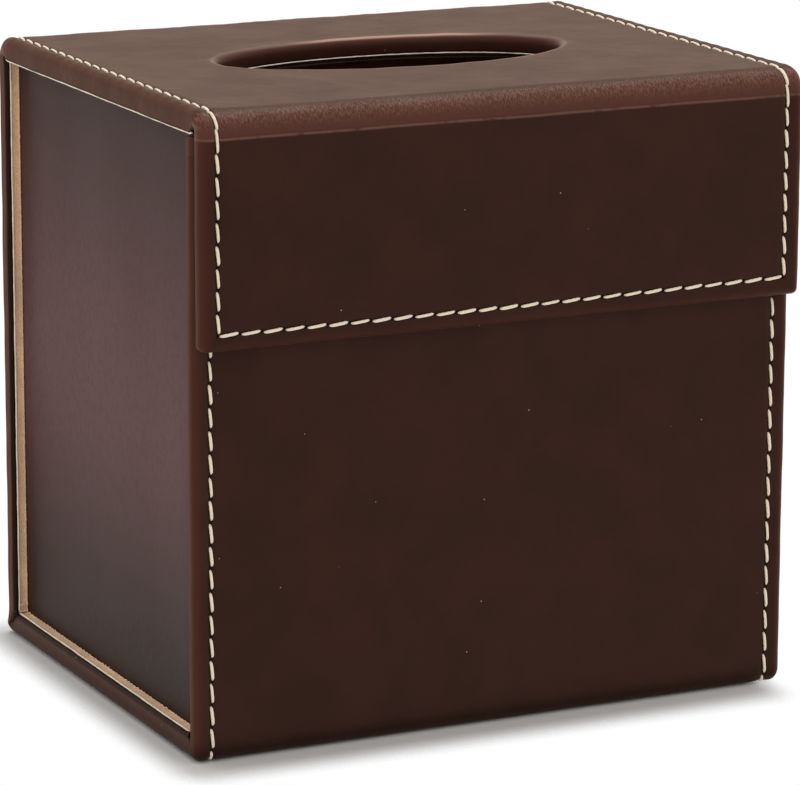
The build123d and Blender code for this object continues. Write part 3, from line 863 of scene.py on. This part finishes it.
def column_chains(wrap, start, end, reaching_out=False):
    """Stitches of both long seams that lie between two runs, and those that reach out of there if wanted."""
    chains = []
    for side, holes in wrap.holes.items():
        for low, high in zip(holes[:-1], holes[1:]):
            if start <= low and high <= end or reaching_out and low < end and high > start:
                on_wall = high < wrap.span["lid"][0] or low > wrap.span["flap"][0]
                gap = wrap.seam.gap if on_wall else wrap.seam.lid_gap
                run = np.linspace(low + gap / 2, high - gap / 2, 7)
                chains.append(stitch_chain(wrap, wrap.columns[side], run, side > 0))
    return chains


def hem_chains(wrap):
    """Stitches of the seam along the flap's hem."""
    step = wrap.row / wrap.row_stitches
    half = (step - wrap.seam.gap) / 2
    chains = []
    for number in range(wrap.row_stitches):
        middle = wrap.columns[-1] + (number + 0.5) * step
        x = np.linspace(middle - half, middle + half, 7)
        chains.append(stitch_chain(wrap, x, wrap.seam_end - wrap.strayed(x), False))
    return chains


def sew(name, chains, stitcher, seam, fullness=1.0):
    """Thread for a group of stitches, as one plain mesh."""
    count = len(chains[0][0])
    edges = [(k * count + i, k * count + i + 1) for k in range(len(chains)) for i in range(count - 1)]
    mesh = bpy.data.meshes.new(name)
    mesh.from_pydata(np.vstack([spots for spots, _, _ in chains]).tolist(), edges, [])
    note(mesh, "outward", np.vstack([ways for _, ways, _ in chains]))
    note(mesh, "number", np.repeat(range(len(chains)), count))
    note(mesh, "slant", np.repeat([slant for _, _, slant in chains], count))
    piece = shown(name, mesh)
    stitching = piece.modifiers.new("stitching", "NODES")
    stitching.node_group = stitcher.tree
    values = (seam.thread * fullness, seam.arch * fullness, seam.lean, seam.seed, finish_of("thread"))
    for (title, _, _), value in zip(stitcher.inputs, values):
        stitching[stitcher.sockets[title]] = value
    return settle(piece)


# Finishes


def scaled(colour, share):
    """A darker or paler colour."""
    return tuple(share * part for part in colour)


class Finish(Nodes):
    """A material under construction."""

    def __init__(self, name, colour):
        self.material = bpy.data.materials.new(name)
        self.material.use_nodes = True
        self.material.diffuse_color = (*colour, 1.0)
        super().__init__(self.material.node_tree)
        self.surface = self.tree.nodes["Principled BSDF"]
        self.place = self.node("ShaderNodeTexCoord")["Object"]

    def moved(self, stretch, seed):
        """The place on the piece, stretched and set apart from other patterns."""
        return self.node("ShaderNodeMapping", Vector=self.place, Location=(seed, seed, seed), Scale=stretch)[0]

    def noise(self, scale, detail=3.0, stretch=(1, 1, 1), seed=0.0):
        """Even noise from 0 to 1, with scale in patches a metre."""
        settings = {"Vector": self.moved(stretch, seed), "Scale": scale, "Detail": detail, "Roughness": 0.55}
        return Sum(self, self.node("ShaderNodeTexNoise", **settings)["Fac"])

    def cells(self, scale, seed):
        """Distance from the nearest of many scattered points."""
        where = self.moved((1, 1, 1), seed)
        return Sum(self, self.node("ShaderNodeTexVoronoi", {"feature": "F1"}, Vector=where, Scale=scale)["Distance"])

    def parts(self, vector):
        """X, Y and Z of a vector."""
        return [Sum(self, part) for part in self.node("ShaderNodeSeparateXYZ", Vector=vector)]

    def attribute(self, name, output="Vector"):
        """Notes that the mesh carries."""
        return self.node("ShaderNodeAttribute", {"attribute_name": name})[output]

    def bump(self, height, distance, strength=1.0):
        """Fine relief for the finish."""
        return self.node("ShaderNodeBump", Height=height, Distance=distance, Strength=strength)[0]

    def set(self, **values):
        """Sets inputs of the surface and gives the material."""
        for key, value in values.items():
            self.join(value, self.surface.inputs[key.replace("_", " ")])
        return self.material


def leather_finish(name, colour, lit_lid_top_colour, edge_colour):
    """Smooth dark leather: fine grain, soft mottling, redder rolled edges and a little dust; painted shade in the
    needle holes, the seam's groove, the turned-in leather and near the floor; painted light on the lid's top and
    painted highlights on the folds' streaks, their crease and the slot's back lip.
    """
    finish = Finish(name, colour)
    phase, beside, tone = finish.parts(finish.attribute("seam"))
    fold = Sum(finish, finish.attribute("fold", "Fac"))
    mottle = finish.noise(75, 3.0)
    fine = finish.noise(900, 2.0, seed=2.0)
    hair = finish.noise(4300, 2.0, stretch=(1, 0.25, 0.25), seed=1.0)
    to_hole = (0.5 - abs(finish.maths("FRACT", phase) - 0.5)) * (bpy.context.scene.seam_sizes.pitch / MM)
    # Painted shade: needle holes near black, weaker on the lid's top
    hole = finish.maths("SQRT", to_hole * to_hole + beside * beside).rising(0.66, 0.34)
    # Painted shade in the seam's groove, which is also made rougher
    groove_shade = abs(beside).rising(0.75, 0.15)
    # Painted shade: turned-in leather, inside the rolled edges and down the slot's wall
    inside = beside.rising(0.92 * TURNED_IN_SHADE, 0.995 * TURNED_IN_SHADE)
    flat = beside.rising(-3.0, -1.0)
    rough_start = fold + (hair - 0.5) * 0.5
    folded = rough_start.rising(0.12, 0.46) * fold.rising(1.10, 0.96)
    # Paler streaks on the upper part of each fold: stretched grain, and painted highlight
    stretched = rough_start.rising(0.16, 0.50) * fold.rising(0.96, 0.45)
    x, _, z = finish.parts(finish.place)
    # The lid's top face, which gets the redder colour as painted light
    on_lid = z.rising(LID[1].z - 1.2 * MM, LID[1].z - 0.5 * MM)
    # Painted shade: the leather darkens towards the floor
    floor_shade = z.rising(6 * MM, 0.5 * MM)
    # Painted highlight: a pale pink line along the top of the slot's back lip
    lip_highlight = tone.rising(0.66, 0.77) * fold.rising(1.3, 1.6) * abs(x - 9 * MM).rising(30 * MM, 14 * MM)
    # Painted highlight: a broken pale line along the crease where a fold ends
    crease_highlight = abs(fold - 1.06 - (mottle - 0.5) * 0.05).rising(0.06, 0.0)
    crease_highlight = crease_highlight * finish.noise(300, 2.0, seed=5.0).rising(0.15, 0.52)
    red = finish.maths("MINIMUM", tone + folded * 0.78, 1.0)
    speck = finish.cells(130, seed=0.4).rising(0.027, 0.016)
    base = finish.layered(
        colour,
        (on_lid, lit_lid_top_colour),
        (mottle.rising(0.36, 0.66) * 0.2, (0.0, 0.0, 0.0)),
        (red, edge_colour),
        (floor_shade * 0.75, scaled(colour, 0.25)),
        (lip_highlight * 0.9, (0.45, 0.24, 0.18)),
        (stretched * hair.rising(0.40, 0.66) * 0.50, (0.30, 0.16, 0.12)),
        (crease_highlight * 0.62, (0.20, 0.11, 0.09)),
        (groove_shade * 0.45, scaled(colour, 0.4)),
        (inside * 0.85, scaled(colour, 0.2)),
        (hole * (1.0 - on_lid * 0.8), (0.004, 0.003, 0.003)),
        (speck * 0.7, (0.50, 0.44, 0.40)),
    )
    height = fine * 0.00004 + hair * (tone * 0.2 + folded) * 0.00010 + finish.noise(190, 1.0, seed=4.0) * 0.00012
    return finish.set(
        Base_Color=base,
        Roughness=0.36 + mottle * 0.16 + groove_shade * 0.2,
        Normal=finish.bump(height, 1.0),
        Specular_IOR_Level=0.08,
        Coat_Weight=flat * 0.06 + folded * 0.12 + tone * 0.02 + tone.rising(0.52, 0.80) * 0.30,
        Coat_Roughness=0.28,
        Coat_IOR=1.6,
        Sheen_Weight=0.06,
        Sheen_Roughness=0.45,
        Sheen_Tint=(1.0, 0.60, 0.34, 1.0),
    )


def side_finish(name, colour, sheen_colour):
    """Smooth side leather with a soft upright sheen: its paler middle is painted reflected light, and it is darker at
    its foot and under its top edge as painted shade.
    """
    finish = Finish(name, colour)
    cloud = finish.noise(20, 2.0, stretch=(1, 1, 0.45))
    fine = finish.noise(700, 2.0, seed=2.0)
    height = finish.parts(finish.place)[2]
    # Painted sheen and shade: paler between about 12 mm and 168 mm up, darker at the foot and under the top edge
    wear_and_sheen = height.rising(12 * MM, 78 * MM) * height.rising(168 * MM, 72 * MM)
    base = finish.layered(
        scaled(colour, 0.25),
        (wear_and_sheen, sheen_colour),
        (cloud.rising(0.3, 0.7) * 0.15, scaled(colour, 1.2)),
        (fine.rising(0.4, 0.7) * 0.3, scaled(colour, 0.75)),
    )
    normal = finish.bump(fine * 0.00003 + cloud * 0.0003, 1.0)
    return finish.set(Base_Color=base, Roughness=0.34 + cloud * 0.14, Normal=normal, Specular_IOR_Level=0.12)


def suede_finish(name, colour):
    """Suede lining: short nap in brushed patches; painted darker as shade inside the box, and less so on the lid,
    than on the strips beside its sides, with the rim of the lid lining's opening painted near black as shade.
    """
    finish = Finish(name, colour)
    nap = finish.noise(2600, 4.0)
    patch = finish.noise(130, 3.0, seed=3.0)
    x, _, z = finish.parts(finish.place)
    rim = finish.parts(finish.attribute("seam"))[2]
    under_lid = z.rising(LID[0].z - 0.3 * MM, LID[0].z - 2 * MM)
    # Painted shade: suede between the side panels is darker, fully below the lid and partly on the lid's lining
    inner = abs(x).rising(BACK[1].x - 3.5 * MM, BACK[1].x - 6 * MM) * (0.4 + under_lid * 0.6)
    base = finish.layered(
        colour,
        (patch.rising(0.35, 0.65) * 0.5, scaled(colour, 0.68)),
        (inner, tuple(share * part for share, part in zip((0.32, 0.27, 0.20), colour))),
        # Painted shade: the rim of the lid lining's opening near black
        (rim, scaled(colour, 0.08)),
    )
    base = finish.mix(nap.rising(0.35, 0.6) * 0.5, base, (1.5, 1.5, 1.5), "MULTIPLY")
    normal = finish.bump(nap, 0.00012, 0.8)
    return finish.set(Base_Color=base, Roughness=0.86 + nap * 0.1, Normal=normal, Sheen_Weight=0.25)


def cut_edge_finish(name, colour):
    """Fibrous cut edge of the lining."""
    finish = Finish(name, colour)
    fibre = finish.noise(1700, 3.0)
    stain = finish.noise(240, 2.0, seed=1.0).rising(0.55, 0.75)
    # Darker fibres in the cut edge's own colour
    wear_and_sheen = (fibre.rising(0.4, 0.7) * 0.3, scaled(colour, 0.7))
    base = finish.layered(colour, wear_and_sheen, (stain * 0.2, (0.30, 0.17, 0.10)))
    return finish.set(Base_Color=base, Roughness=0.8 + fibre * 0.15, Normal=finish.bump(fibre, 0.0001, 0.8))


def thread_finish(name, colour):
    """Waxed thread of two twisted plies, painted darker as shade in the grooves between them, and darker brown at
    each stitch's ends.
    """
    finish = Finish(name, colour)
    across, up, along = finish.parts(finish.attribute("ply"))
    twist = abs(finish.maths("SINE", finish.maths("ARCTAN2", up, across) + along * 11.0))
    fibre = finish.noise(2400, 3.0)
    ends = abs(along - 0.5).rising(0.36, 0.5)
    base = finish.layered(
        colour,
        # Painted shade in the grooves between plies; darker brown at the stitch ends
        (twist.rising(0.35, 0.05) * 0.25, scaled(colour, 0.6)),
        (fibre.rising(0.45, 0.7) * 0.05, scaled(colour, 0.8)),
        (ends * 0.25, (0.22, 0.13, 0.08)),
    )
    normal = finish.bump(twist * 0.00010 + fibre * 0.00003, 1.0)
    return finish.set(Base_Color=base, Roughness=0.5 + fibre * 0.2, Normal=normal)


def board_finish(name, colour):
    """Pressed fibreboard."""
    finish = Finish(name, colour)
    fibre = finish.noise(900, 4.0, stretch=(1, 0.4, 1))
    base = finish.mix(fibre.rising(0.35, 0.7), colour, scaled(colour, 0.6))
    return finish.set(Base_Color=base, Roughness=0.8 + fibre * 0.15, Normal=finish.bump(fibre, 0.0001, 0.7))


def metal_finish(name, colour, roughness):
    """Plated metal with fine scratches."""
    finish = Finish(name, colour)
    scratch = finish.noise(500, 3.0, stretch=(8, 1, 1))
    stain = finish.noise(120, 2.0, seed=2.0)
    base = finish.mix(stain.rising(0.4, 0.7) * 0.3, colour, scaled(colour, 0.75))
    rough, normal = roughness + scratch * 0.15, finish.bump(scratch, 0.00002, 0.4)
    return finish.set(Base_Color=base, Metallic=1.0, Roughness=rough, Normal=normal)


# Name, a slot name that nothing here reads, maker and colours of each finish
FINISHES = {
    "leather": ("chocolate_leather", "wrap_leather", leather_finish, "leather", "lid", "edge"),
    "side": ("side_panel_leather", "side_leather", side_finish, "side", "side_worn"),
    "suede": ("tan_suede", "suede_lining", suede_finish, "suede"),
    "cut_edge": ("raw_suede_edge", "suede_lining", cut_edge_finish, "cut_edge"),
    "thread": ("waxed_thread", "thread", thread_finish, "thread"),
    "board": ("fibreboard", "board", board_finish, "board"),
}


def finish_of(kind):
    """A finish in the panel's colours, made when it is first asked for."""
    name, _, make, *colours = FINISHES[kind]
    chosen = bpy.context.scene.box_colours
    return bpy.data.materials.get(name) or make(name, *(tuple(getattr(chosen, title)) for title in colours))


def cover(piece, finish):
    """Gives a piece its only finish."""
    piece.data.materials.clear()
    piece.data.materials.append(finish)


def dress(piece, kind, holder, *nodes):
    """Finishes a piece and joins it to a body; a hinge's piece is only baked in place, joined to neither body. Hides
    the frame's nodes that it replaces.
    """
    cover(piece, finish_of(kind))
    bends = not isinstance(holder, str)
    if bends:
        body, moving, start, end = holder
        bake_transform(piece)
        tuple(start)
        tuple(end)
    else:
        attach(piece, holder)
    if bends or nodes:
        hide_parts(*nodes)


# Operators


def wrap_of(context):
    """The leather sheet in the panel's sizes."""
    return Wrap(context.scene.leather_sizes, context.scene.seam_sizes)


class TISSUE_OT_box_leather(bpy.types.Operator):
    """Leather of the front wall, the base and the back wall, in one piece"""

    bl_idname = "tissue.box_leather"
    bl_label = "Box Leather"

    def execute(self, context):
        wrap = wrap_of(context)
        runs = stations(wrap, 0.0, wrap.span["back"][1] - MM, per_stitch=5, bend_steps=7)
        piece = shell("box_wrap", ended_sheets(wrap, runs, columns=48, hem=False), (0, 1, 0), wrap.leather.skin)
        dress(piece, "leather", "box", "front_leather", "base_leather", "back_leather")
        return {"FINISHED"}


class TISSUE_OT_lid_leather(bpy.types.Operator):
    """Leather of the lid, with the oval opening and its turned-in lip"""

    bl_idname = "tissue.lid_leather"
    bl_label = "Lid Leather"

    def execute(self, context):
        wrap = wrap_of(context)
        low, high = wrap.span["lid"]
        runs = stations(wrap, low + MM, high - MM, per_stitch=6, bend_steps=7)
        sheets = slot_sheets(wrap, context.scene.slot_sizes, runs, columns=90)
        dress(shell("lid_wrap", sheets, (0, 0, 1), wrap.leather.skin), "leather", "lid", "lid_leather")
        return {"FINISHED"}


class TISSUE_OT_flap_leather(bpy.types.Operator):
    """Leather of the closing flap, with its rounded lower corners"""

    bl_idname = "tissue.flap_leather"
    bl_label = "Flap Leather"

    def execute(self, context):
        wrap = wrap_of(context)
        runs = stations(wrap, wrap.span["flap"][0] + MM, wrap.total, per_stitch=6, bend_steps=7)
        piece = shell("flap_wrap", ended_sheets(wrap, runs, columns=163, hem=True), (0, -1, 0), wrap.leather.skin)
        dress(piece, "leather", "flap", "flap_leather")
        return {"FINISHED"}


class TISSUE_OT_hinges(bpy.types.Operator):
    """The two leather hinges and the suede inside them"""

    bl_idname = "tissue.hinges"
    bl_label = "Leather Hinges"

    def execute(self, context):
        wrap = wrap_of(context)
        for name, span, hinge, facing in (
            ("rear_fold", "back_bend", REAR_HINGE, (0, 1, 0)),
            ("front_fold", "lid_bend", FRONT_HINGE, (0, 0, 1)),
        ):
            low, high = wrap.span[span][0] - MM, wrap.span[span][1] + MM
            runs = stations(wrap, low, high, per_stitch=10, bend_steps=24)
            piece = shell(name + "_wrap", strip_sheets(wrap, runs, columns=220), facing, wrap.leather.skin)
            dress(piece, "leather", hinge, name + "_leather")
            inside = tuple(-part for part in facing)
            piece = shell(name + "_suede", fold_lining_sheets(wrap, low, high), inside, 0.4 * MM)
            dress(piece, "suede", hinge, name + "_lining")
        return {"FINISHED"}


class TISSUE_OT_sides(bpy.types.Operator):
    """The two set-back side panels"""

    bl_idname = "tissue.sides"
    bl_label = "Side Leather"

    def execute(self, context):
        radius = context.scene.leather_sizes.turned_radius
        for side, name in ((-1, "left_side"), (1, "right_side")):
            piece = shell(name + "_skin", side_sheets(side, radius), (side, 0, 0), 0.6 * MM)
            dress(piece, "side", "box", name + "_leather")
        return {"FINISHED"}


class TISSUE_OT_linings(bpy.types.Operator):
    """Suede inside the walls, the base, the lid and the flap"""

    bl_idname = "tissue.linings"
    bl_label = "Suede Lining"

    def execute(self, context):
        slot, gap = context.scene.slot_sizes, 0.5 * MM
        hole = (slot.width + 2 * gap, slot.depth + 2 * gap, slot.aside)
        for number, (name, body, axis, sign) in enumerate(
            (
                ("base", "box", 2, 1),
                ("front", "box", 1, 1),
                ("back", "box", 1, -1),
                ("left_side", "box", 0, 1),
                ("right_side", "box", 0, -1),
                ("flap", "flap", 1, 1),
                ("lid", "lid", 2, -1),
            )
        ):
            low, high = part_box(name + "_lining")
            sheets = lining_sheets(low, high, axis, sign, number, hole if name == "lid" else None)
            way = [0, 0, 0]
            way[axis] = sign
            dress(shell(name + "_suede", sheets, way, 0.5 * MM), "suede", body, name + "_lining")
        return {"FINISHED"}


class TISSUE_OT_cut_edges(bpy.types.Operator):
    """The pale cut edges of the lining, beside the turned-in leather"""

    bl_idname = "tissue.cut_edges"
    bl_label = "Cut Edges"

    def execute(self, context):
        wrap, slot = wrap_of(context), context.scene.slot_sizes
        roll = wrap.leather.edge_roll + 0.1 * MM
        reach, thick, thin = wrap.half_width - roll, 0.23 * MM, 0.15 * MM

        def edge(x, runs, beyond):
            wobble = 0.05 * MM * waver(runs / (5 * MM), x / MM, 2.0)
            return wrap.place(x + wobble, runs, wrap.thickness(runs) + beyond + wobble)

        def lines(start, end, out=0.0):
            runs = np.linspace(start, end, max(int((end - start) / (1.3 * MM)), 8))
            x = np.full(len(runs), reach + out)
            return [edge(side * x, runs, -0.25 * out) for side in (-1, 1)]

        def across(run):
            x = np.linspace(-reach, reach, 110)
            return edge(x, np.full(len(x), run), 0.0)

        turn, inset = np.linspace(0, 2 * math.pi, 180), 0.17 * MM
        x = slot.aside + (slot.width / 2 - inset) * np.cos(turn)
        runs = sum(wrap.span["lid"]) / 2 + (slot.depth / 2 - inset) * np.sin(turn)
        wobble = 0.04 * MM * waver(x / MM, runs / MM, 5.0)
        oval = wrap.place(x, runs, wrap.thickness(runs) - 1.25 * MM + wobble)
        rear, fore = wrap.span["back_bend"], wrap.span["lid_bend"]
        for name, holder, radius, paths in (
            ("box", "box", thick, [*lines(roll, rear[0]), across(roll)]),
            ("lid", "lid", thick, lines(rear[1], fore[0], 0.9 * MM)),
            ("flap", "flap", thick, [*lines(fore[1], wrap.total - roll), across(wrap.total - roll)]),
            ("slot", "lid", thin, [oval]),
            ("rear_fold", REAR_HINGE, thick, lines(*rear)),
            ("front_fold", FRONT_HINGE, thick, lines(*fore)),
        ):
            dress(bead(name + "_cut_edge", paths, radius), "cut_edge", holder)
        return {"FINISHED"}


class TISSUE_OT_fringes(bpy.types.Operator):
    """Loose fibres of the lining along the foot and the back of both side panels"""

    bl_idname = "tissue.fringes"
    bl_label = "Lining Fringes"

    def execute(self, context):
        wrap, panel = wrap_of(context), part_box("right_side_leather")[1].x
        runs = np.linspace(wrap.span["base"][0] + 2 * MM, wrap.span["back"][1] - 2 * MM, 560)
        torn = 0.5 + 0.5 * waver(runs / (0.9 * MM), 1.0, 2.0) * waver(runs / (4 * MM), 0.3, 6.0)
        tooth = np.abs(np.cos(math.pi * (runs / (1.9 * MM) + 0.5 * waver(runs / (5 * MM), 1.0, 7.0)))) ** 8
        tooth = tooth * (0.6 + 0.4 * waver(runs / (2.6 * MM), 1.0, 4.0))
        paths, tucks = [], []
        for side in (-1, 1):
            x = side * (panel + 0.05 * MM + 0.16 * MM * torn)
            paths.append(wrap.place(x, runs, wrap.thickness(runs) + 0.12 * MM * torn + 0.42 * MM * tooth))
            across = side * np.linspace(panel, wrap.half_width - 1.3 * MM, 12)
            for past in (2.9, 4.6):
                fold = wrap.span["base_bend"][1] + past * MM + 0.25 * MM * waver(across / (1.2 * MM), past, 3.0)
                tucks.append(wrap.place(across, fold, wrap.thickness(fold) + 0.05 * MM))
        dress(bead("lining_fringe", paths, 0.2 * MM), "suede", "box")
        dress(bead("corner_tucks", tucks, 0.38 * MM), "suede", "box")
        return {"FINISHED"}


class TISSUE_OT_stitching(bpy.types.Operator):
    """Saddle stitching round the wrap, body by body"""

    bl_idname = "tissue.stitching"
    bl_label = "Stitching"

    def execute(self, context):
        wrap, stitcher = wrap_of(context), Stitcher()
        rear, fore = wrap.span["back_bend"], wrap.span["lid_bend"]
        for name, holder, chains, fullness, panels in (
            ("box", "box", column_chains(wrap, 0, rear[0]), 1.0, ("front", "base", "back")),
            ("lid", "lid", column_chains(wrap, rear[1], fore[0]), 0.86, ("lid",)),
            ("flap", "flap", column_chains(wrap, fore[1], wrap.total) + hem_chains(wrap), 1.0, ("flap",)),
            ("rear_fold", REAR_HINGE, column_chains(wrap, *rear, reaching_out=True), 1.0, ("rear_fold",)),
            ("front_fold", FRONT_HINGE, column_chains(wrap, *fore, reaching_out=True), 1.0, ("front_fold",)),
        ):
            piece = sew(name + "_thread", chains, stitcher, wrap.seam, fullness)
            dress(piece, "thread", holder, *(panel + "_stitching" for panel in panels))
        return {"FINISHED"}


class TISSUE_OT_hardware(bpy.types.Operator):
    """Finishes of the boards, magnets and keeper discs, which keep the frame's shapes"""

    bl_idname = "tissue.hardware"
    bl_label = "Boards and Magnets"

    def execute(self, context):
        board = finish_of("board")
        metals = {
            "flap_magnets": metal_finish("bright_nickel", (0.62, 0.60, 0.57), 0.25),
            "flap_keepers": metal_finish("dull_steel", (0.50, 0.49, 0.48), 0.38),
        }
        for name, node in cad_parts.items():
            if name.endswith("_board") or name in metals:
                cover(node, metals.get(name, board))
        return {"FINISHED"}


class TISSUE_OT_stage(bpy.types.Operator):
    """Grey floor patch painted as shadow, soft light and the photograph's camera"""

    bl_idname = "tissue.stage"
    bl_label = "Studio"

    def execute(self, context):
        scene = context.scene
        self.floor()
        self.light(scene, scene.studio)
        self.camera(scene, scene.studio)
        scene.view_settings.view_transform = "Standard"
        return {"FINISHED"}

    @staticmethod
    def floor():
        """A grey sheet that fades out a little way round the box's foot, shifted to the left and well before its own
        edge: painted shadow laid under the real one.
        """
        mesh, far, level = bpy.data.meshes.new("floor"), 1.2, -0.0001
        corners = [(x * far, y * far, level) for x, y in ((-1, -1), (1, -1), (1, 1), (-1, 1))]
        mesh.from_pydata(corners, [], [(0, 1, 2, 3)])
        piece = shown("floor", mesh)
        finish = Finish("floor", (0.9, 0.9, 0.9))
        x, y, _ = finish.parts(finish.place)
        # Painted shadow: the sheet shows only close round the foot, shifted left and reaching farther in depth than
        # to the sides
        aside, stretch, gone, solid = 5 * MM, 0.72, 11.5 * MM, 1 * MM
        spans = ((x + aside, BACK[1].x - aside, 1.0), (y, BACK[1].y - 3 * MM, stretch))
        beyond = [finish.maths("MAXIMUM", abs(part) - reach, 0.0) * share for part, reach, share in spans]
        away = finish.maths("SQRT", beyond[0] * beyond[0] + beyond[1] * beyond[1])
        grain = finish.noise(800, 2.0)
        base = finish.mix(grain * 0.3, (0.71, 0.76, 0.82), (0.69, 0.74, 0.80))
        finish.set(Base_Color=base, Roughness=0.75 + grain * 0.1, Normal=finish.bump(grain, 0.00003, 0.2))
        mesh.materials.append(finish.set(Alpha=away.rising(gone, solid), Specular_IOR_Level=0.2))

    @staticmethod
    def light(scene, studio):
        """Even light all round that shows white, and one large soft lamp above."""
        world = bpy.data.worlds.new("surround")
        world.use_nodes = True
        scene.world = world
        sky = Nodes(world.node_tree)
        path = sky.node("ShaderNodeLightPath")
        seen = sky.maths("MAXIMUM", path["Is Camera Ray"], path["Is Transmission Ray"])
        shade = sky.mix(seen, scaled(studio.tint, studio.sky), (1.0, 1.0, 1.0))
        sky.join(shade, sky.tree.nodes["Background"].inputs["Color"])
        lamp = bpy.data.lights.new("softbox", "AREA")
        lamp.shape, lamp.size, lamp.size_y, lamp.energy = "RECTANGLE", 0.9, 0.9, studio.lamp
        piece = shown("softbox", lamp)
        piece.location, aim = (0.20, 0.35, 1.15), Vector((0, 0, 0.1))
        piece.rotation_mode = "QUATERNION"
        piece.rotation_quaternion = (piece.location - aim).to_track_quat("Z", "Y")

    @staticmethod
    def camera(scene, studio):
        """The photograph's view of the box."""
        turn, rise, roll = studio.azimuth, studio.elevation, studio.roll
        back = Vector((math.sin(turn) * math.cos(rise), -math.cos(turn) * math.cos(rise), math.sin(rise)))
        right = Vector((math.cos(turn), math.sin(turn), 0))
        up = back.cross(right)
        lens = bpy.data.cameras.new("camera")
        lens.lens, lens.sensor_width, lens.clip_start = studio.lens, 36, 0.01
        piece = shown("camera", lens)
        across = math.cos(roll) * right + math.sin(roll) * up
        upwards = -math.sin(roll) * right + math.cos(roll) * up
        middle = Vector((0, (BACK[1].y + FRONT[0].y) / 2, LID[1].z / 2))
        piece.matrix_world = Matrix((across, upwards, back)).transposed().to_4x4()
        piece.location = middle + back * studio.distance + right * studio.aside + up * studio.above
        scene.camera = piece


class TISSUE_PT_panel(bpy.types.Panel):
    """Lists the steps that dress the box"""

    bl_idname = "TISSUE_PT_panel"
    bl_label = "Tissue Box"
    bl_space_type = "VIEW_3D"
    bl_region_type = "UI"
    bl_category = "Tissue Box"

    def draw(self, context):
        column = self.layout.column()
        for operator in OPERATORS:
            column.operator(operator.bl_idname)
        for group in SETTINGS:
            box = self.layout.box()
            settings = getattr(context.scene, group)
            for name in settings.bl_rna.properties.keys():
                if name not in ("rna_type", "name"):
                    box.prop(settings, name)


OPERATORS = (
    TISSUE_OT_box_leather,
    TISSUE_OT_lid_leather,
    TISSUE_OT_flap_leather,
    TISSUE_OT_hinges,
    TISSUE_OT_sides,
    TISSUE_OT_linings,
    TISSUE_OT_cut_edges,
    TISSUE_OT_fringes,
    TISSUE_OT_stitching,
    TISSUE_OT_hardware,
    TISSUE_OT_stage,
)
SETTINGS = {
    "leather_sizes": LeatherSizes,
    "seam_sizes": SeamSizes,
    "slot_sizes": SlotSizes,
    "box_colours": Colours,
    "studio": Studio,
}


def register():
    for kind in (*SETTINGS.values(), *OPERATORS, TISSUE_PT_panel):
        bpy.utils.register_class(kind)
    for name, kind in SETTINGS.items():
        setattr(bpy.types.Scene, name, PointerProperty(type=kind))


def unregister():
    for name in SETTINGS:
        delattr(bpy.types.Scene, name)
    for kind in (TISSUE_PT_panel, *reversed(OPERATORS), *reversed(SETTINGS.values())):
        bpy.utils.unregister_class(kind)


def main():
    """Dresses the frame step by step."""
    register()
    for operator in OPERATORS:
        group, name = operator.bl_idname.split(".")
        getattr(getattr(bpy.ops, group), name)()
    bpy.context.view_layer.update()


if __name__ == "__main__":
    main()
